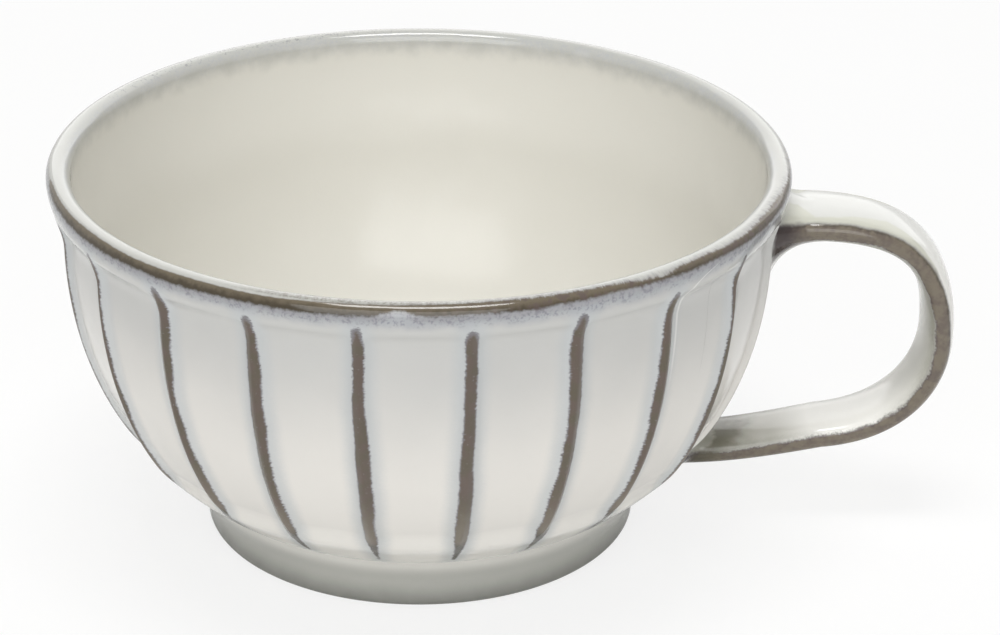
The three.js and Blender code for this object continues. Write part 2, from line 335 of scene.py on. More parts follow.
def tube_faces(rows, columns):
    """Quads of a grid whose columns close on themselves."""
    row, column = np.meshgrid(np.arange(rows - 1), np.arange(columns), indexing="ij")
    here = row * columns + column
    ahead = row * columns + (column + 1) % columns
    return np.stack([here, ahead, ahead + columns, here + columns], -1).reshape(-1, 4).tolist()


def fan_faces(first, columns, hub, flip):
    """Triangles from a ring of vertices to one hub vertex."""
    ring = [(first + i, first + (i + 1) % columns) for i in range(columns)]
    return [[b, a, hub] if flip else [a, b, hub] for a, b in ring]


def add_piece(name, grid, normals, fields, hubs, material):
    """Makes a closed mesh from a grid, with a hub at each end or with its last row joined to its first."""
    rows, columns = grid.shape[:2]
    points = np.concatenate([grid.reshape(-1, 3), np.reshape(hubs, (-1, 3))])
    faces = tube_faces(rows, columns)
    last = (rows - 1) * columns
    if hubs:
        faces += fan_faces(0, columns, rows * columns, True)
        faces += fan_faces(last, columns, rows * columns + 1, False)
    else:
        faces += [[last + i, last + (i + 1) % columns, (i + 1) % columns, i] for i in range(columns)]
    ends = [0, -1] if hubs else []
    mesh = bpy.data.meshes.new(name)
    mesh.from_pydata(((points + [AXIS_X, 0, 0]) * MM).tolist(), [], faces)
    mesh.shade_smooth()
    end_normals = [normals[i].mean(0) for i in ends]
    mesh.normals_split_custom_set_from_vertices([*normals.reshape(-1, 3).tolist(), *end_normals])
    for field, values in fields.items():
        layer = mesh.attributes.new(field, "FLOAT", "POINT")
        end_values = [values[i].mean() for i in ends]
        layer.data.foreach_set("value", np.array([*values.ravel(), *end_values], np.float32))
    mesh.materials.append(material)
    piece = bpy.data.objects.new(name, mesh)
    bpy.context.scene.collection.objects.link(piece)
    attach(piece, "root")
    return piece


# Where the glaze breaks to brown: distances in millimetres, read by the materials

generator = np.random.default_rng(22)


def wave(terms):
    """A smooth wave round the cup, between about -1 and 1, the same each run."""
    phases = generator.uniform(0, 2 * math.pi, len(terms))
    size = math.sqrt(len(terms))
    return lambda azimuth: sum(np.sin(t * azimuth + p) for t, p in zip(terms, phases)) / size


lip_low_wave = wave([3, 7, 11, 19])
lip_high_wave = wave([2, 5, 9, 17])

NO_STREAK = 9.0
STREAK_TOP = 52.1
STREAK_FOOT = 15.0
STREAK_TAIL = 10.2
STREAK_HEIGHTS = [10.2, 12.2, 14.4, 15.6, 24.0, 51.0]
STREAK_HALF_WIDTHS = [0.19, 0.41, 0.6, 0.86, 0.92, 0.8]
# Waves down a streak, sideways and in breadth: reach, length and turn from one ridge to the next
STREAK_SWAYS = [(0.10, 4.1, 2.4), (0.05, 1.7, 5.1)]
STREAK_SWELLS = [(0.07, 5.3, 1.7), (0.04, 1.3, 3.3)]
# How the streaks' tops are staggered and drawn out
STREAK_TOP_REACH = 0.4
STREAK_TOP_TURN = 2.9
STREAK_TOP_TAPER = 0.6
# Ridges without a streak or with a slim or a thin one, counted from the one that the handle sits on
BARE_RIDGES = [0, 1, FLUTE_COUNT - 1]
SLIM_RIDGES = [13, 20]
SLIM_SHARE = 0.68
THIN_RIDGES = [10, 12]
THIN_SHARE = 0.45
# Lower and upper edge of the brown band, as runs over the lip, at azimuths in degrees; none where they cross
BAND_AZIMUTHS = [-118, -100, -80, -76, -70, -62, -50, -20, -8, 0, 15, 20, 30, 34, 39,
                 42, 49, 52, 58, 62, 66, 72, 78, 84, 100, 118, 150, 180]
BAND_LOW = [0.5, 1.6, 1.6, 1.0, 0.65, 0.35, 0.25, 0.2, 0.3, 0.4, 0.5, 0.8, 0.95, 0.85, 0.8,
            0.65, 0.65, 0.65, 0.55, 0.45, 0.4, 0.45, 0.65, 1.2, 1.6, 0.5, 0.4, 0.5]
BAND_HIGH = [1.6, 1.1, 1.5, 1.7, 1.65, 1.6, 1.55, 1.6, 2.0, 2.2, 2.25, 2.25, 2.15, 1.65, 1.5,
             2.0, 1.95, 1.6, 1.7, 1.95, 2.05, 2.05, 1.75, 1.3, 1.1, 1.6, 1.7, 1.6]
# Azimuths, at a few heights, of the edges of two runs of thick glaze beside the handle; their edges get a low
# relief and a painted highlight line
RUN_HEIGHTS = [30.0, 40.0, 48.0, 51.0, 52.6, 53.6, 54.2]
RUN_AZIMUTHS = [[43.0, 43.2, 43.4, 43.8, 45.0, 47.0, 49.5], [59.0, 59.2, 59.6, 60.2, 61.2, 63.2, 66.0]]
# Middle and half-width, in degrees round the cup, of the places where pale glaze has run over the lip
LIP_BLOTS = [(-2.2, 2.6), (150.0, 4.0), (-140.0, 5.0)]
BLOT_RISE = 0.8
BLOT_CORE = 0.6
BAND_WAVE = 0.08


def ripple(waves, height, number):
    """The sum of a few waves down a ridge, out of step with the other ridges."""
    return sum(reach * np.sin(height / length + turn * number) for reach, length, turn in waves)


def streak_edge(azimuth, radius, height):
    """Distance to the edge of the brown streak on the nearest ridge, negative inside it."""
    angle = ridge_angle(azimuth)
    number = np.round((azimuth - angle - FIRST_RIDGE) / PITCH) % FLUTE_COUNT
    sway = ripple(STREAK_SWAYS, height, number)
    half_width = np.interp(height, STREAK_HEIGHTS, STREAK_HALF_WIDTHS) + ripple(STREAK_SWELLS, height, number)
    half_width = half_width * np.where(np.isin(number, SLIM_RIDGES), SLIM_SHARE, 1.0)
    half_width = half_width * np.where(np.isin(number, THIN_RIDGES), THIN_SHARE, 1.0)
    stagger = STREAK_TOP_REACH * np.sin(STREAK_TOP_TURN * number)
    above = np.maximum(height - STREAK_TOP - stagger + half_width, 0)
    below = np.maximum(STREAK_TAIL - height, 0)
    edge = np.hypot(np.hypot(angle * radius - sway, STREAK_TOP_TAPER * above), below) - half_width
    return np.where(np.isin(number, BARE_RIDGES), NO_STREAK, edge)


def run_offset(azimuth, radius, height):
    """Signed distance across the wall to the nearer edge of a run of thick glaze."""
    edges = [np.degrees(azimuth) - np.interp(height, RUN_HEIGHTS, edge) for edge in RUN_AZIMUTHS]
    first, second = (np.mod(edge + 180, 360) - 180 for edge in edges)
    nearest = np.where(np.abs(first) < np.abs(second), first, second)
    return np.radians(nearest) * radius


def lip_edges(azimuth, lip):
    """How far a run over the lip lies above the brown band's lower edge and below its upper edge."""
    degrees = np.degrees(azimuth)
    low = np.interp(degrees, BAND_AZIMUTHS, BAND_LOW, period=360) + BAND_WAVE * lip_low_wave(azimuth)
    high = np.interp(degrees, BAND_AZIMUTHS, BAND_HIGH, period=360) + BAND_WAVE * lip_high_wave(azimuth)
    for middle, half_width in LIP_BLOTS:
        away = np.abs((degrees - middle + 180) % 360 - 180)
        low = low + BLOT_RISE * (1 - smoothstep(away, half_width * BLOT_CORE, half_width))
    return lip - low, high - lip


# Materials

# Gloss and roughness
GLOSS = 0.5
GLAZE_IOR = 1.5
GLAZE_ROUGHNESS = 0.07
STREAK_ROUGHNESS = 0.14
EDGE_ROUGHNESS = 0.13
INSIDE_ROUGHNESS = 0.15
FOOT_ROUGHNESS = 0.14
CLAY_ROUGHNESS = 0.8

# Noise and relief, in millimetres
GRAIN_SIZE = 0.35
BLOTCH_SIZE = 0.9
BODY_MOTTLE = 2.6
BODY_CLOUDS = 15.0
STRAP_MOTTLE = 2.4
STRAP_CLOUDS = 9.0
TOOTH_SIZE = 0.22
TOOTH_STRETCH = (0.4, 0.4, 1.0)
HAIR_WIDTH = 0.11
HAIR_LENGTH = 1.6
GRAIN_RELIEF = 0.004
BODY_WAVES = 9.0
BODY_RELIEF = 0.10
STRAP_WAVES = 7.0
STRAP_RELIEF = 0.08
RUN_RELIEF = 0.06
FOOT_RELIEF = 0.006

# Heights between which the wall turns from warm white to grey: the glaze's own tone, with painted shade under
# the lip and painted light from the floor lower down
GREY_START = 26.0
GREY_END = 53.0

# Colours
# The wall's grey high up holds painted shade under the lip; its warm white low down and the neck's lighter
# white hold painted light from the floor; both also carry the glaze's own tone
HIGH_GLAZE_SHADED = linear("#c7c7c5")
LOW_GLAZE_LIT = linear("#e4e1dc")
NECK_PAINTED_LIGHT = linear("#f2f0ea")
INSIDE_GLAZE = linear("#dfddd5")
LIP_GLAZE = linear("#bdbdb7")
LIP_SPECK = linear("#7a756d")
HALO = linear("#a5a8af")
HALO_BLOT = linear("#8a8b94")
SHOULDER = linear("#b3b5b7")
BESIDE_STREAK = linear("#c0c4c6")
# Painted highlight along the edges of the runs of thick glaze
RUN_HIGHLIGHT = linear("#eeeeec")
# Grey stain and painted shade round the lower root
ROOT_STAIN_AND_SHADE = linear("#7c7c80")
FRINGE = linear("#67626a")
STREAK_OLIVE = linear("#5e5648")
STREAK_PURPLE = linear("#63564e")
STREAK_PALE = linear("#8f877b")
STREAK_END = linear("#4a4740")
LIP_OLIVE = linear("#453d2f")
LIP_PALE = linear("#6a604f")
LIP_PURPLE = linear("#5a4c4b")
LIP_FADED = linear("#7f7c80")
HANDLE_WHITE = linear("#f4f3ee")
# Painted shade: grey on the strap's outer face
HANDLE_SHADED_GREY = linear("#cfcfca")
HANDLE_CREAM = linear("#c9c9bc")
# Painted shade: greenish grey on the strap's inner face
HANDLE_SHADE = linear("#a09f94")
EDGE_BROWN = linear("#776e60")
EDGE_DARK = linear("#3f3a2e")
EDGE_PURPLE = linear("#54484a")
STAIN = linear("#3b3031")
ROOT_OLIVE = linear("#5f5b4a")
# Foot greys: partly thinner glaze, partly painted shade, darker towards the floor
FOOT_GREY = linear("#b8b8b2")
FOOT_DARK = linear("#81827c")
BARE_CLAY = linear("#b9ab97")


class Nodes:
    """Short names for building a shader."""

    def __init__(self, name):
        self.material = bpy.data.materials.new(name)
        self.material.use_nodes = True
        self.tree = self.material.node_tree
        self.tree.nodes.clear()
        self.output = self.tree.nodes.new("ShaderNodeOutputMaterial")
        self.spot = self.spot_in_mm()
        self.side, self.depth, self.height = self.add("ShaderNodeSeparateXYZ", {0: self.spot}).outputs

    def add(self, kind, inputs=None, **settings):
        """A node with its settings, and with a value or a link on each input that is named."""
        node = self.tree.nodes.new(kind)
        for key, value in settings.items():
            setattr(node, key, value)
        for key, value in (inputs or {}).items():
            if isinstance(value, bpy.types.NodeSocket):
                self.tree.links.new(value, node.inputs[key])
            else:
                node.inputs[key].default_value = value
        return node

    def field(self, name):
        """A value stored with the mesh."""
        return self.add("ShaderNodeAttribute", attribute_name=name).outputs["Fac"]

    def math(self, operation, first, second=0.0):
        return self.add("ShaderNodeMath", {0: first, 1: second}, operation=operation).outputs[0]

    def times(self, first, second):
        return self.math("MULTIPLY", first, second)

    def vector(self, operation, first, second):
        return self.add("ShaderNodeVectorMath", {0: first, 1: second}, operation=operation).outputs[0]

    def spot_in_mm(self):
        """The place on the object, in millimetres from the cup's axis."""
        spot = self.add("ShaderNodeTexCoord").outputs["Object"]
        moved = self.vector("SUBTRACT", spot, (AXIS_X * MM, 0, 0))
        return self.vector("DIVIDE", moved, (MM, MM, MM))

    def noise(self, size, detail=2.0, stretch=(1, 1, 1)):
        """Noise about 0, mostly within 0.5, whose grain is about a size in millimetres."""
        scaled = self.vector("MULTIPLY", self.spot, stretch)
        noise = self.add("ShaderNodeTexNoise", {"Vector": scaled, "Scale": 1 / size, "Detail": detail})
        return self.swing(noise.outputs["Fac"])

    def hair(self, around, across, run):
        """Noise drawn out into short hairs: fine round the rim, long along a run over the lip."""
        flat = self.vector("MULTIPLY", self.spot, (1, 1, 0))
        ring = self.vector("NORMALIZE", flat, (0, 0, 0))
        ring = self.vector("MULTIPLY", ring, (RIM_RADIUS / around,) * 3)
        lift = self.add("ShaderNodeCombineXYZ", {2: self.math("DIVIDE", run, across)}).outputs[0]
        settings = {"Vector": self.vector("ADD", ring, lift), "Scale": 1.0, "Detail": 2.0}
        return self.swing(self.add("ShaderNodeTexNoise", settings).outputs["Fac"])

    def swing(self, value):
        """A value from 0 to 1, spread to run from -1 to 1."""
        return self.times(self.math("SUBTRACT", value, 0.5), 2.0)

    def shift(self, value, *swings):
        """A value moved by swings of noise, each given with its reach."""
        for swing, reach in swings:
            value = self.math("ADD", value, self.times(swing, reach))
        return value

    def rise(self, value, low, high, bottom=0.0, top=1.0):
        """A smooth step of a value from low to high."""
        settings = {"Value": value, "From Min": low, "From Max": high, "To Min": bottom, "To Max": top}
        return self.add("ShaderNodeMapRange", settings, interpolation_type="SMOOTHSTEP").outputs[0]

    def blend(self, share, first, second):
        """A share of the second colour over the first."""
        node = self.add("ShaderNodeMix", {0: share}, data_type="RGBA")
        for socket, colour in zip((node.inputs[6], node.inputs[7]), (first, second)):
            if isinstance(colour, bpy.types.NodeSocket):
                self.tree.links.new(colour, socket)
            else:
                socket.default_value = colour
        return node.outputs[2]

    def bump(self, height, reach, normal=None):
        """A normal for a height between about -1 and 1, times a reach in millimetres."""
        inputs = {"Height": height, "Strength": 1.0, "Distance": reach * MM}
        if normal is not None:
            inputs["Normal"] = normal
        return self.add("ShaderNodeBump", inputs).outputs[0]

    def finish(self, colour, rough, normal):
        """The finished material."""
        inputs = {"Base Color": colour, "Roughness": rough, "Normal": normal}
        inputs.update({"IOR": GLAZE_IOR, "Specular IOR Level": GLOSS})
        shader = self.add("ShaderNodeBsdfPrincipled", inputs)
        self.tree.links.new(shader.outputs[0], self.output.inputs[0])
        return self.material


class GlazeNodes(Nodes):
    """The same for a glaze, with noise from fine to coarse."""

    def __init__(self, name, mottle_size, cloud_size):
        super().__init__(name)
        self.grain = self.noise(GRAIN_SIZE)
        self.blotch = self.noise(BLOTCH_SIZE, 3.0)
        self.mottle = self.noise(mottle_size, 3.0)
        self.cloud = self.noise(cloud_size)


def base_glaze(n, lip):
    """Glaze without brown: grey at the foot, partly painted shade; warm white above it with painted light
    from the floor, lightest at the neck; greyer towards the lip, partly painted shade under it; cream inside.
    """
    # Grey towards the lip: glaze tone and painted shade; warm white lower down: glaze tone and painted light
    # from the floor
    glaze = n.blend(n.rise(n.shift(n.height, (n.cloud, 5.0)), GREY_START, GREY_END), LOW_GLAZE_LIT, HIGH_GLAZE_SHADED)
    # Painted light from the floor, lightest on the neck above the foot
    glaze = n.blend(n.rise(n.height, 8.0, 20.0), NECK_PAINTED_LIGHT, glaze)
    # The foot's grey carried up the neck: partly thinner glaze, partly painted shade
    glaze = n.blend(n.rise(n.height, 5.0, 9.5), FOOT_GREY, glaze)
    glaze = n.blend(n.rise(lip, -0.6, 1.5), glaze, LIP_GLAZE)
    flecks = n.rise(n.shift(n.grain, (n.mottle, 0.9)), -0.3, 0.5, 0.1, 0.7)
    glaze = n.blend(n.times(n.rise(lip, 2.8, 4.2), flecks), glaze, SHOULDER)
    return n.blend(n.rise(n.shift(lip, (n.mottle, 1.5)), 4.0, 8.0), glaze, INSIDE_GLAZE)


def add_halo(n, glaze, lip):
    """Grey halo with darker blots below the lip."""
    halo = n.times(n.rise(n.shift(lip, (n.mottle, 0.8)), -2.0, -0.1), n.rise(lip, 1.4, 0.6))
    glaze = n.blend(n.times(halo, 0.75), glaze, HALO)
    blots = n.rise(n.shift(n.grain, (n.blotch, 1.0)), -0.05, 0.5, 0.0, 0.75)
    blots = n.times(blots, n.rise(lip, -1.6, -0.5))
    return n.blend(n.times(halo, blots), glaze, HALO_BLOT)


def add_root_stain_and_shade(n, glaze, outside):
    """Grey stain and painted shade on the wall round the handle's lower root."""
    from_root = n.vector("SUBTRACT", n.spot, (wall_radius(LOW_END_HEIGHT), 0, LOW_END_HEIGHT))
    distance = n.add("ShaderNodeVectorMath", {0: from_root}, operation="LENGTH").outputs["Value"]
    stained_and_shaded = n.rise(n.shift(distance, (n.mottle, 3.0)), 5.5, 10.5, 0.4, 0.0)
    return n.blend(n.times(stained_and_shaded, outside), glaze, ROOT_STAIN_AND_SHADE)


def add_lip_specks(n, glaze, lip):
    """Specks over the top of the lip: many in front, a few paler ones at the back on the left."""
    specks = n.shift(n.grain, (n.blotch, 0.8))
    in_front = n.rise(n.depth, -44.0, -50.0)
    on_top = n.times(n.times(n.rise(lip, 1.7, 2.1), n.rise(lip, 3.4, 2.5)), in_front)
    glaze = n.blend(n.times(on_top, n.rise(specks, -0.5, 0.5, 0.25, 0.85)), glaze, LIP_SPECK)
    behind = n.times(n.rise(n.depth, 15.0, 30.0), n.rise(n.side, 5.0, -15.0))
    over_top = n.times(n.rise(lip, 1.2, 2.0), n.rise(lip, 4.2, 3.2))
    few_specks = n.rise(specks, 0.1, 0.5, 0.0, 0.7)
    return n.blend(n.times(n.times(behind, over_top), few_specks), glaze, LIP_FADED)


def streak_brown(n):
    """Mottled brown of the streaks, paler low on the wall and dark where they end."""
    brown = n.blend(n.rise(n.mottle, -0.3, 0.3), STREAK_OLIVE, STREAK_PURPLE)
    brown = n.blend(n.rise(n.shift(n.height, (n.mottle, 3.0)), 26.0, 16.0, 0.0, 0.45), brown, STREAK_PALE)
    end = n.rise(n.shift(n.height, (n.mottle, 0.8)), STREAK_FOOT - 0.6, STREAK_FOOT + 1.4, 0.9, 0.0)
    brown = n.blend(end, brown, STREAK_END)
    return n.blend(n.rise(n.grain, 0.35, 0.55, 0.0, 0.4), brown, HALO)


def add_lip_band(n, colour, lip):
    """Brown band on the lip with a faded border, ragged on the handle's side."""
    low = n.field("lip_low")
    high = n.field("lip_high")
    ragged = n.rise(n.side, -5.0, 25.0)
    hairs = n.times(ragged, n.hair(HAIR_WIDTH, HAIR_LENGTH, lip))
    patches = n.times(n.rise(n.side, -5.0, 25.0, 0.12, 0.5), n.blotch)
    fade_above = n.shift(high, (hairs, 0.9), (patches, 1.6))
    fade_below = n.shift(low, (n.blotch, 0.5), (n.grain, 0.3))
    fade_start = n.rise(ragged, 0.0, 1.0, -0.3, -0.9)
    faded = n.times(n.rise(fade_above, fade_start, 0.3), n.rise(fade_below, -1.4, 0.1))
    colour = n.blend(n.times(faded, 0.55), colour, LIP_FADED)
    above = n.shift(high, (hairs, 0.5), (patches, 0.8))
    below = n.shift(low, (n.blotch, 0.3), (n.grain, 0.15))
    band_end = n.rise(ragged, 0.0, 1.0, 0.15, 0.3)
    in_band = n.times(n.rise(above, -0.1, band_end), n.rise(below, -0.3, 0.25))
    brown = n.blend(n.rise(n.shift(lip, (n.blotch, 0.6)), 0.5, 1.6), LIP_OLIVE, LIP_PALE)
    purple = n.times(n.rise(n.side, -15.0, 25.0), n.rise(n.blotch, -0.1, 0.35, 0.0, 0.7))
    brown = n.blend(purple, brown, LIP_PURPLE)
    return n.blend(in_band, colour, brown)


def make_body_glaze():
    """White reactive glaze, cream inside, that breaks to brown on the ridges and the lip."""
    n = GlazeNodes("body_glaze", BODY_MOTTLE, BODY_CLOUDS)
    lip = n.field("lip")
    run = n.field("run")
    outside = n.rise(lip, 0.4, -0.2)
    on_wall = n.times(n.rise(n.height, 34.0, 44.0), outside)
    teeth = n.noise(TOOTH_SIZE, 2.0, TOOTH_STRETCH)
    streak = n.shift(n.field("streak"), (teeth, 0.26), (n.grain, 0.14), (n.mottle, 0.14))

    glaze = base_glaze(n, lip)
    # Bluish grey beside each streak: glaze halo and painted shade at the bead's sides
    glaze = n.blend(n.rise(streak, 0.0, 2.6, 0.8, 0.0), glaze, BESIDE_STREAK)
    glaze = add_halo(n, glaze, lip)
    # A painted highlight line along the edge of each run
    run_highlight = n.times(n.rise(n.math("ABSOLUTE", run), 0.3, 0.05), on_wall)
    glaze = n.blend(n.times(run_highlight, 0.6), glaze, RUN_HIGHLIGHT)
    glaze = add_root_stain_and_shade(n, glaze, outside)
    glaze = add_lip_specks(n, glaze, lip)
    glaze = n.blend(n.rise(streak, -0.08, 0.2, 0.8, 0.0), glaze, FRINGE)
    in_streak = n.rise(streak, n.rise(n.height, 49.5, 52.0, -0.18, -0.7), 0.02, 1.0, 0.0)
    colour = n.blend(in_streak, glaze, streak_brown(n))
    colour = add_lip_band(n, colour, lip)

    rough = n.rise(in_streak, 0.0, 1.0, GLAZE_ROUGHNESS, STREAK_ROUGHNESS)
    rough = n.math("ADD", rough, n.rise(lip, 8.0, 25.0, 0.0, INSIDE_ROUGHNESS))
    normal = n.bump(n.grain, GRAIN_RELIEF, n.bump(n.noise(BODY_WAVES, 1.0), BODY_RELIEF))
    normal = n.bump(n.times(n.rise(run, -0.5, 0.5), on_wall), RUN_RELIEF, normal)
    return n.finish(colour, rough, normal)


def strap_glaze(n, inner):
    """Glaze of the strap without brown: white greyed by painted shade, cream beside the outer brown, darker
    inside with painted shade.
    """
    shade = n.shift(n.field("shade"), (n.cloud, 0.2))
    glaze = n.blend(shade, HANDLE_WHITE, HANDLE_SHADED_GREY)
    in_cream = n.rise(n.shift(n.field("cream"), (n.mottle, 0.4)), -0.3, 0.3, 1.0, 0.0)
    glaze = n.blend(in_cream, glaze, HANDLE_CREAM)
    # Painted shade on the inner face, deepest next to the brown
    inside_shade = n.math("ADD", shade, n.rise(inner, 1.8, 0.0, 0.0, 0.3))
    inside = n.blend(inside_shade, HANDLE_WHITE, HANDLE_SHADE)
    return n.blend(n.rise(inner, 0.0, 0.3), glaze, inside)


def strap_brown(n, outer, inner):
    """Mottled brown of the strap's edges, darker towards its bounds."""
    brown = n.blend(n.rise(n.shift(n.blotch, (n.mottle, 0.8)), -0.3, 0.4, 0.0, 0.45), EDGE_BROWN, EDGE_PURPLE)
    brown = n.blend(n.rise(n.shift(outer, (n.blotch, 0.4)), -0.6, -0.1, 0.0, 0.6), brown, EDGE_DARK)
    return n.blend(n.rise(n.shift(inner, (n.blotch, 0.3)), -0.45, -0.1, 0.0, 0.8), brown, EDGE_PURPLE)


def add_wall_stains(n, colour, bare, from_wall, wall_glaze_light_and_shade):
    """Stains and painted shade on the roots, which end in the wall's colour with its painted light and shade.
    """
    wall = n.shift(from_wall, (n.mottle, 1.6))
    by_wall = n.times(n.rise(wall, 2.5, 5.5, 1.0, 0.0), n.rise(bare, 0.8, -0.2, 0.0, 0.9))
    colour = n.blend(by_wall, colour, STAIN)
    low_root = n.rise(n.height, 24.0, 20.0)
    # Grey stain and painted shade where the lower root meets the wall
    at_wall = n.rise(wall, 1.0, 2.6, 0.5, 0.0)
    colour = n.blend(n.times(low_root, at_wall), colour, ROOT_STAIN_AND_SHADE)
    colour = n.blend(n.rise(n.shift(from_wall, (n.blotch, 0.3)), 0.1, 1.0, 0.8, 0.0), colour, wall_glaze_light_and_shade)
    smudge = n.times(n.rise(wall, 2.4, 3.2), n.rise(wall, 7.0, 4.0, 0.0, 0.7))
    return n.blend(n.times(low_root, smudge), colour, ROOT_OLIVE)


def make_handle_glaze():
    """The body's glaze on the strap, brown along its edges and stained where it meets the wall."""
    n = GlazeNodes("handle_glaze", STRAP_MOTTLE, STRAP_CLOUDS)
    from_wall = n.field("wall")
    outer = n.shift(n.field("outer"), (n.mottle, 0.25), (n.grain, 0.10))
    inner = n.shift(n.field("inner"), (n.mottle, 0.5), (n.grain, 0.35))
    bare = n.math("MAXIMUM", outer, inner)

    # The wall's colour, with its painted light and shade, which the roots blend into
    wall_glaze_light_and_shade = n.blend(n.rise(n.height, GREY_START, GREY_END), LOW_GLAZE_LIT, HIGH_GLAZE_SHADED)
    glaze = n.blend(n.rise(from_wall, 0.2, 2.4, 1.0, 0.0), strap_glaze(n, inner), wall_glaze_light_and_shade)
    glaze = n.blend(n.rise(bare, -0.1, 0.5, 0.5, 0.0), glaze, FRINGE)
    colour = n.blend(n.rise(bare, -0.3, 0.15, 1.0, 0.0), glaze, strap_brown(n, outer, inner))
    colour = add_wall_stains(n, colour, bare, from_wall, wall_glaze_light_and_shade)

    rough = n.rise(bare, -0.3, 0.1, GLAZE_ROUGHNESS, EDGE_ROUGHNESS)
    normal = n.bump(n.grain, GRAIN_RELIEF, n.bump(n.noise(STRAP_WAVES, 1.0), STRAP_RELIEF))
    return n.finish(colour, rough, normal)


def make_foot_glaze():
    """Grey glaze on the foot's side, darker towards the floor: partly thinner glaze, partly painted shade;
    bare clay where it stands.
    """
    n = Nodes("foot_glaze")
    mottle = n.noise(3.0, 3.0)
    grain = n.noise(0.4)
    height = n.shift(n.height, (mottle, 0.4))
    # Darker towards the floor: painted shade where the cup stands, and thinner glaze
    glaze = n.blend(n.rise(height, -0.2, 4.5), FOOT_DARK, FOOT_GREY)
    colour = n.blend(n.rise(height, -0.2, 0.35), BARE_CLAY, glaze)
    rough = n.rise(height, -0.2, 0.35, CLAY_ROUGHNESS, FOOT_ROUGHNESS)
    return n.finish(colour, rough, n.bump(grain, FOOT_RELIEF))


# Bowl

def under_rows():
    """Rows of the flat underside, from its middle outwards."""
    azimuth = column_azimuths(NECK_RADIUS)
    for radius in UNDER_RADII:
        points = level_ring(azimuth, radius, UNDERSIDE)
        yield azimuth, points, -wall_line.length, np.full_like(azimuth, NO_STREAK)


def wall_rows():
    """Rows of the fluted wall, from the foot up to the lip."""
    for run in np.linspace(0, wall_line.length, int(wall_line.length / WALL_STEP)):
        radius, height = wall_line.at(run)
        azimuth = column_azimuths(radius)
        points = wall_surface(azimuth, np.full_like(azimuth, run))[0]
        yield azimuth, points, run - wall_line.length, streak_edge(azimuth, radius, height)


def inner_rows():
    """Rows over the lip and down the inside to the floor."""
    lip = arc(RIM_RADIUS - LIP_RADIUS, LIP_HEIGHT, LIP_RADIUS, 0, 180, LIP_ROWS)[1:-1]
    runs = np.linspace(0, hollow_line.length - FLOOR_HUB_RADIUS, int(hollow_line.length / HOLLOW_STEP))
    inner = Line(np.concatenate([[[RIM_RADIUS, LIP_HEIGHT]], lip, hollow_line.at(runs)]))
    azimuth = column_azimuths(RIM_RADIUS)
    for (radius, height), lip_run in zip(inner.points[1:], inner.runs[1:]):
        yield azimuth, level_ring(azimuth, radius, height), lip_run, np.full_like(azimuth, NO_STREAK)


def bowl_fields(azimuth, points, lip_run, streak):
    """What the glaze reads on a row: the run over the lip, and distances to the edges of its colours."""
    radius = np.hypot(points[:, 0], points[:, 1])
    low, high = lip_edges(azimuth, lip_run)
    lip = np.full_like(azimuth, lip_run)
    run = run_offset(azimuth, radius, points[:, 2])
    return {"lip": lip, "streak": streak, "lip_low": low, "lip_high": high, "run": run}


def make_bowl(material):
    """One closed skin, from the middle of the underside round to the middle of the floor."""
    rows = [*under_rows(), *wall_rows(), *inner_rows()]
    grid = np.array([points for _, points, _, _ in rows])
    row_fields = [bowl_fields(*row) for row in rows]
    fields = {key: np.array([row[key] for row in row_fields]) for key in row_fields[0]}
    under = len(UNDER_RADII)
    down = np.broadcast_to([0.0, 0.0, -1.0], grid[:under].shape)
    normals = np.concatenate([down, surface_normals(grid[under:])])
    normals[under] = seam_normals(column_azimuths(wall_line.points[0, 0]))
    hubs = [[0, 0, UNDERSIDE], [0, 0, FLOOR_TOP]]
    piece = add_piece("bowl_glazed", grid, normals, fields, hubs, material)
    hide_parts("bowl")


# Foot ring

def make_foot(material):
    """A closed ring: the recess's fillet, the rounded land, and a side that runs into the wall."""
    inner_foot = FOOT_RADIUS - FOOT_WALL
    inner_top = inner_foot - FOOT_DRAFT
    outer_foot = FOOT_RADIUS - FOOT_TAPER
    height = np.linspace(FOOT_EDGE, UNDERSIDE, FOOT_POINTS)[1:]
    narrowing = (wall_radius(FOOT_EDGE) - outer_foot) * (UNDERSIDE - height) / (UNDERSIDE - FOOT_EDGE)
    profile = np.concatenate([
        arc(inner_top - RECESS_FILLET, UNDERSIDE - RECESS_FILLET, RECESS_FILLET, 90, 0, FOOT_ARC_STEPS),
        arc(inner_foot + FOOT_EDGE, FOOT_EDGE, FOOT_EDGE, 180, 270, FOOT_ARC_STEPS),
        arc(outer_foot - FOOT_EDGE, FOOT_EDGE, FOOT_EDGE, 270, 360, FOOT_ARC_STEPS),
        np.stack([wall_radius(height) - narrowing, height], -1),
    ])
    azimuth = column_azimuths(NECK_RADIUS)
    grid = np.array([level_ring(azimuth, radius, level) for radius, level in profile])
    normals = surface_normals(grid)
    normals[-1] = seam_normals(azimuth)
    piece = add_piece("foot_ring_glazed", grid, normals, {}, [], material)
    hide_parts("foot_ring")


# Handle

def bezier(a, b, c, d):
    """Points of a cubic curve from a to d, led by b and c."""
    t = np.linspace(0, 1, CURVE_STEPS + 1)[:, None]
    a, b, c, d = (np.array(p, float) for p in (a, b, c, d))
    return (1 - t) ** 3 * a + 3 * t * (1 - t) ** 2 * b + 3 * t ** 2 * (1 - t) * c + t ** 3 * d


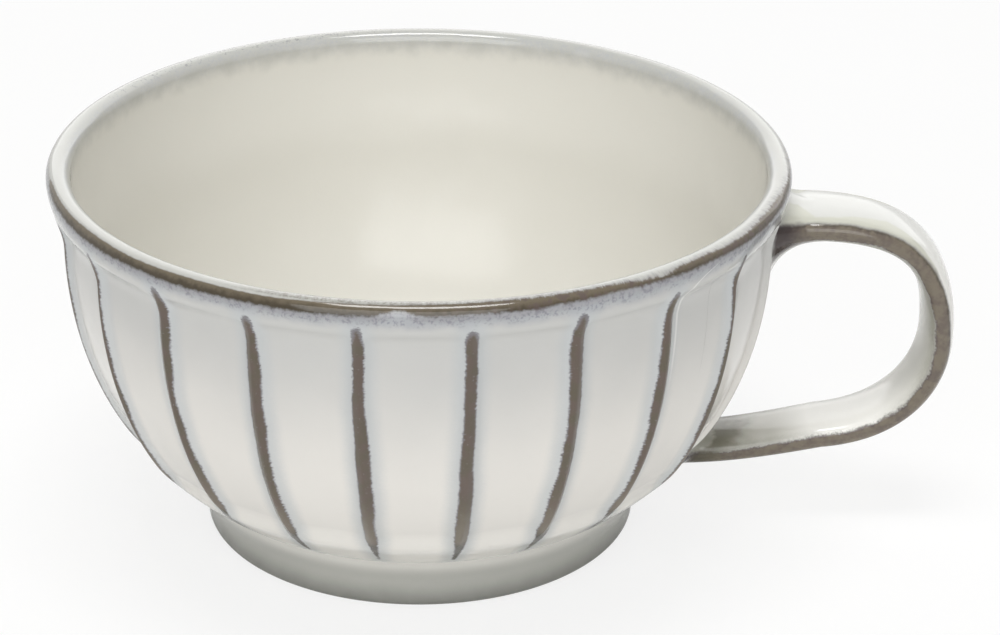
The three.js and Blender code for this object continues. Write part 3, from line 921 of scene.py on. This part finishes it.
def make_handle_line():
    """The strap's mid-line in x and z, from inside the wall at the top to inside it at the bottom."""
    arm_x = HANDLE_REACH - ARM_INSET
    low_x = wall_radius(LOW_END_HEIGHT) - ROOT_SINK
    top = (wall_radius(HANDLE_TOP) - ROOT_SINK, HANDLE_TOP)
    arch = (HANDLE_REACH - SHOULDER_REACH, HANDLE_TOP + SHOULDER_ARCH)
    drop = (HANDLE_REACH, HANDLE_TOP - SHOULDER_DROP)
    far = (HANDLE_REACH, HANDLE_MIDDLE)
    bend = (HANDLE_REACH, HANDLE_MIDDLE - ELBOW_DROP)
    bend_end = (HANDLE_REACH - ELBOW_REACH, HANDLE_BOTTOM + ELBOW_RISE)
    arm = (arm_x, HANDLE_BOTTOM)
    arm_lead = (arm_x - ARM_RUN, HANDLE_BOTTOM - ARM_RUN * ARM_SLOPE)
    low_lead = (low_x + LOW_END_RUN, LOW_END_HEIGHT - LOW_END_DIP)
    low = (low_x, LOW_END_HEIGHT)
    shoulder = bezier(top, arch, drop, far)
    elbow = bezier(far, bend, bend_end, arm)
    arm_end = bezier(arm, arm_lead, low_lead, low)
    line = np.concatenate([shoulder, elbow[1:], arm_end[1:]])
    lead_in = line[0] - unit(line[1] - line[0]) * ROOT_LEAD
    lead_out = line[-1] + unit(line[-1] - line[-2]) * ROOT_LEAD
    return Line(np.concatenate([[lead_in], line, [lead_out]]))


handle_line = make_handle_line()
section_angle = np.linspace(0, 2 * math.pi, STRAP_SIDES, endpoint=False)


def rounded(value):
    """A sine or cosine changed so that the section has flatter sides."""
    return np.sign(value) * np.abs(value) ** (2 / STRAP_SQUARENESS)


def strap_point(run):
    """A ring of the strap's surface at a run, or one point for each section angle at its own run."""
    run = np.broadcast_to(run, section_angle.shape)
    share = np.clip((run - ROOT_LEAD) / (handle_line.length - 2 * ROOT_LEAD), 0, 1)
    width = STRAP_TOP_WIDTH + (STRAP_LOW_WIDTH - STRAP_TOP_WIDTH) * share
    x, z = handle_line.at(run).T
    along_x, along_z = handle_line.along(run).T
    across = width / 2 * rounded(np.cos(section_angle))
    outward = STRAP_THICKNESS / 2 * rounded(np.sin(section_angle))
    return np.stack([x - along_z * outward, -across, z + along_x * outward], -1)


def wall_gap(point):
    """Distance of points from the fluted wall, positive outside, with the azimuth and wall run below them."""
    azimuth = np.arctan2(point[:, 0], -point[:, 1])
    run = np.interp(point[:, 2], wall_line.points[:, 1], wall_line.runs)
    surface, normal = wall_surface(azimuth, run)
    return np.sum((point - surface) * normal, -1), azimuth, run


def entry_runs(start, end):
    """Runs at which the sides of the strap enter the wall, looked for from start to end."""
    trials = np.linspace(start, end, ROOT_TRIALS)
    gaps = np.array([wall_gap(strap_point(run))[0] for run in trials])
    return trials[np.argmax(gaps < 0, axis=0)]


def make_root(start, end, spread):
    """Rings from the strap's end over a fillet that lands on the wall, and on to a hub inside it."""
    entry = entry_runs(start, end)
    corner = strap_point(entry)
    _, azimuth, run = wall_gap(corner)
    radius = np.hypot(corner[:, 0], corner[:, 1])
    middle_run = run.mean()
    over = unit(np.stack([(azimuth - FIRST_RIDGE) * radius, run - middle_run], -1))

    def on_wall(reach, sink):
        """Points below the wall's surface at a reach outwards from the strap."""
        return wall_surface(azimuth + reach * over[:, 0] / radius, run + reach * over[:, 1], sink)[0]

    sine = np.sin(section_angle)
    reach = spread["side"] * np.cos(section_angle) ** 2
    reach += np.where(sine > 0, spread["outside"], spread["inside"]) * sine ** 2
    more_inside = (spread["along_inside"] - spread["along"]) * sine ** 2
    along = np.where(sine > 0, spread["along"], spread["along"] + more_inside)
    fillet_run = entry + np.sign(start - end) * along
    lift = strap_point(fillet_run)
    landing = on_wall(reach, LANDING_SINK)
    outward = unit(lift + landing - 2 * corner)
    collar = spread["collar"] * smoothstep(sine, COLLAR_FADE_LOW, COLLAR_FADE_HIGH)[:, None] * outward

    strap_runs = np.linspace(0, 1, ROOT_STRAP_ROWS)[:-1, None] * (fillet_run - start) + start
    rings = [strap_point(ring) for ring in strap_runs]
    for t in np.linspace(0, 1, FILLET_ROWS):
        fillet = (1 - t) ** 2 * lift + 2 * t * (1 - t) * corner + t * t * landing
        roll = smoothstep(t, COLLAR_START, COLLAR_CREST) * (1 - smoothstep(t, COLLAR_CREST, COLLAR_END))
        rings.append(fillet + roll * collar)
    rings.append(on_wall(reach + TUCK_REACH, TUCK_SINK))
    hub = wall_surface(np.array([FIRST_RIDGE]), np.array([middle_run]), HUB_SINK)[0][0]
    return np.array(rings), hub


# How far the brown runs over the outer and the inner face from each edge, at shares of the strap's length
STRAP_SHARES = [0.0, 0.06, 0.1, 0.2, 0.27, 0.32, 0.4, 0.5, 0.6, 0.7, 0.8, 0.9, 1.0]
BROWN_OUTSIDE = [1.2, 1.4, 1.6, 1.6, 1.1, 1.0, 1.5, 2.2, 2.6, 2.6, 2.2, 1.8, 1.5]
BROWN_INSIDE = [4.0, 2.6, 1.2, 0.9, 1.4, 1.8, 1.0, 0.9, 0.9, 0.8, 0.7, 0.5, 0.4]
# How far the cream beyond the brown runs over the outer face
CREAM_WIDTHS = [4.0, 4.0, 1.0, 2.4, 0.8, 0.0, -0.3, -0.3, -0.3, 0.0, 0.3, 0.5, 0.5]
# How much painted shade greys the outer and the inner face, from 0 to 1
OUTER_SHADES = [0.6, 0.8, 1.1, 1.1, 0.5, 0.1, 0.0, 0.0, 0.2, 0.4, 0.5, 0.6, 0.6]
INNER_SHADES = [1.0, 1.0, 0.9, 0.8, 0.8, 0.8, 0.7, 0.55, 0.0, -0.3, 0.6, 1.1, 1.2]


def edge_distance():
    """Distance round the section from its nearer edge, positive on the outer face, negative on the inner."""
    ring = strap_point(handle_line.length / 2)
    steps = np.linalg.norm(np.roll(ring, -1, axis=0) - ring, axis=1)
    from_near = np.concatenate([[0], np.cumsum(steps)[:-1]])
    whole = steps.sum()
    from_near = np.minimum(from_near, whole - from_near)
    return np.copysign(np.minimum(from_near, whole / 2 - from_near), np.sin(section_angle))


def handle_fields(grid):
    """What the glaze reads: distances past the brown and the cream and from the wall, and how much painted
    shade greys it.
    """
    middle = grid.mean(1)
    run = np.concatenate([[0], np.cumsum(np.linalg.norm(np.diff(middle, axis=0), axis=1))])
    share = run / run[-1]

    def along_strap(values):
        return np.interp(share, STRAP_SHARES, values)[:, None]

    edge = np.broadcast_to(edge_distance(), grid.shape[:2])
    outside = along_strap(BROWN_OUTSIDE)
    cream = outside + along_strap(CREAM_WIDTHS)
    return {
        "outer": edge - outside,
        "inner": -edge - along_strap(BROWN_INSIDE),
        "cream": edge - cream,
        "wall": np.array([wall_gap(ring)[0] for ring in grid]),
        # How much painted shade each face gets
        "shade": np.where(edge > 0, along_strap(OUTER_SHADES), along_strap(INNER_SHADES)),
    }


def make_handle(material):
    """The strap and its two roots, cut from one run of rings so that they meet without a step."""
    cut = ROOT_LEAD + ROOT_SINK + ROOT_LENGTH
    low_cut = handle_line.length - cut
    strap_runs = np.linspace(cut, low_cut, int((low_cut - cut) / STRAP_STEP))
    strap = np.array([strap_point(run) for run in strap_runs])
    upper, upper_hub = make_root(cut, ROOT_MARGIN, UPPER_ROOT)
    lower, lower_hub = make_root(low_cut, handle_line.length - ROOT_MARGIN, LOWER_ROOT)
    whole = np.concatenate([upper[::-1], strap[1:-1], lower])
    normals = -surface_normals(whole)
    fields = handle_fields(whole)
    first = len(upper)
    last = len(whole) - len(lower)
    first_middle = whole[first - 1].mean(0)
    last_middle = whole[last].mean(0)
    parts = {
        "upper_handle_root": (slice(0, first), [upper_hub, first_middle]),
        "handle": (slice(first - 1, last + 1), [first_middle, last_middle]),
        "lower_handle_root": (slice(last, len(whole)), [last_middle, lower_hub]),
    }
    for node, (rows, hubs) in parts.items():
        grid, part_normals = (values[rows][:, ::-1] for values in (whole, normals))
        part_fields = {key: values[rows][:, ::-1] for key, values in fields.items()}
        piece = add_piece(node + "_glazed", grid, part_normals, part_fields, hubs, material)
        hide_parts(node)


make_bowl(make_body_glaze())
make_foot(make_foot_glaze())
make_handle(make_handle_glaze())


# Stage

FLOOR_SIZE = 6.0
FLOOR_GLOW = 0.8
FLOOR_REFLECTED_GLOW = 0.3
AMBIENT = 0.18
FRONT_REFLECTION = 0.5
PAPER_GRAIN = 60.0
PAPER_SHADE = linear("#f3f3f1")
PAPER_WHITE = linear("#f6f6f5")
STEEP = 0.9
# Name, place, aim, width and height, and power of each softbox, in metres and watts
SOFTBOXES = [
    ("top_softbox", (-0.03, -0.1, 1.0), (0, 0, 0), (0.5, 0.26), 5.2),
    ("front_softbox", (-0.15, -1.5, 0.8), (0, 0, 0.03), (1.7, 1.4), 17.3),
    ("back_softbox", (0.25, 1.35, 0.85), (0, 0, 0.03), (2.4, 1.3), 12.0),
]


def background_share(tree, in_view, reflected):
    """One share for rays from the camera and another for rays off or through a glossy surface."""
    path = tree.nodes.new("ShaderNodeLightPath")
    levels = {"Is Camera Ray": in_view, "Is Glossy Ray": reflected, "Is Transmission Ray": reflected}
    share = None
    for name, level in levels.items():
        total = tree.nodes.new("ShaderNodeMath")
        total.operation = "MULTIPLY_ADD"
        tree.links.new(path.outputs[name], total.inputs[0])
        total.inputs[1].default_value = level
        total.inputs[2].default_value = 0.0
        if share is not None:
            tree.links.new(share, total.inputs[2])
        share = total.outputs[0]
    return share


def make_floor():
    """A pale floor that glows for the camera, so that it is white and keeps the cup's shadow."""
    half = FLOOR_SIZE / 2
    corners = [(-half, -half, 0), (half, -half, 0), (half, half, 0), (-half, half, 0)]
    mesh = bpy.data.meshes.new("floor")
    mesh.from_pydata(corners, [], [(0, 1, 2, 3)])
    n = Nodes("pale_floor")
    paper = n.blend(n.noise(PAPER_GRAIN), PAPER_SHADE, PAPER_WHITE)
    matt = n.add("ShaderNodeBsdfDiffuse", {"Color": paper})
    glow = n.add("ShaderNodeEmission", {"Strength": 1.0})
    share = background_share(n.tree, FLOOR_GLOW, FLOOR_REFLECTED_GLOW)
    both = n.add("ShaderNodeMixShader", {0: share, 1: matt.outputs[0], 2: glow.outputs[0]})
    n.tree.links.new(both.outputs[0], n.output.inputs[0])
    mesh.materials.append(n.material)
    floor = bpy.data.objects.new("floor", mesh)
    bpy.context.scene.collection.objects.link(floor)


def make_world():
    """Even light, and a background that is white behind the cup and greyer on the camera's side of it."""
    world = bpy.data.worlds.new("studio")
    world.use_nodes = True
    tree = world.node_tree
    shade = tree.nodes["Background"]
    direction = tree.nodes.new("ShaderNodeTexCoord").outputs["Generated"]
    parts = tree.nodes.new("ShaderNodeSeparateXYZ")
    tree.links.new(direction, parts.inputs[0])
    reflection = tree.nodes.new("ShaderNodeMapRange")
    reflection.inputs["From Min"].default_value = -1.0
    reflection.inputs["To Min"].default_value = FRONT_REFLECTION
    tree.links.new(parts.outputs[1], reflection.inputs["Value"])
    level = tree.nodes.new("ShaderNodeMix")
    level.inputs[2].default_value = AMBIENT
    tree.links.new(background_share(tree, 1.0, 1.0), level.inputs[0])
    tree.links.new(reflection.outputs[0], level.inputs[3])
    tree.links.new(level.outputs[0], shade.inputs["Strength"])
    shade.inputs["Color"].default_value = (1, 1, 1, 1)
    bpy.context.scene.world = world


def facing(side, up, ahead, eye):
    """Where a lamp or a camera stands and how it is turned."""
    return Matrix(np.column_stack([[*side, 0], [*up, 0], [*-ahead, 0], [*eye, 1]]).tolist())


def add_softbox(name, place_at, aim, size, power):
    """A rectangular lamp that points at its aim."""
    lamp = bpy.data.lights.new(name, "AREA")
    lamp.shape = "RECTANGLE"
    lamp.size, lamp.size_y = size
    lamp.energy = power
    box = bpy.data.objects.new(name, lamp)
    eye = np.array(place_at, float)
    ahead = unit(np.array(aim, float) - eye)
    side = unit(np.cross(ahead, [0, 1, 0] if abs(ahead[2]) > STEEP else [0, 0, 1]))
    box.matrix_world = facing(side, np.cross(side, ahead), ahead, eye)
    bpy.context.scene.collection.objects.link(box)


def make_camera():
    """The camera of the photograph, fitted to the rim, the ridges and the foot."""
    elevation = math.radians(25.352)
    turn = math.radians(0.8203)
    aim_side = math.radians(1.4491)
    aim_up = math.radians(0.2543)
    roll = math.radians(0.5791)
    distance = 457.73
    aim_height = 27.88
    sensor = 36
    lens = 113.59
    eye = np.array([0, -distance * math.cos(elevation), aim_height + distance * math.sin(elevation)])
    ahead = np.array([0, math.cos(elevation), -math.sin(elevation)])
    side = np.array([1.0, 0, 0])
    ahead = ahead + math.tan(aim_side) * side + math.tan(aim_up) * np.cross(side, ahead)
    ahead = unit(ahead)
    side = unit(np.cross(ahead, [0, 0, 1]))
    up = np.cross(side, ahead)
    side, up = math.cos(roll) * side + math.sin(roll) * up, math.cos(roll) * up - math.sin(roll) * side
    pose = facing(side, up, ahead, eye * MM)
    view = bpy.data.cameras.new("photo_camera")
    view.sensor_width = sensor
    view.lens = lens
    camera = bpy.data.objects.new("photo_camera", view)
    axis = Matrix.Translation((AXIS_X * MM, 0, 0)) @ Matrix.Rotation(turn, 4, "Z")
    camera.matrix_world = axis @ pose
    bpy.context.scene.collection.objects.link(camera)
    bpy.context.scene.camera = camera


make_floor()
make_world()
for softbox in SOFTBOXES:
    add_softbox(*softbox)
make_camera()
bpy.context.scene.view_settings.view_transform = "Standard"
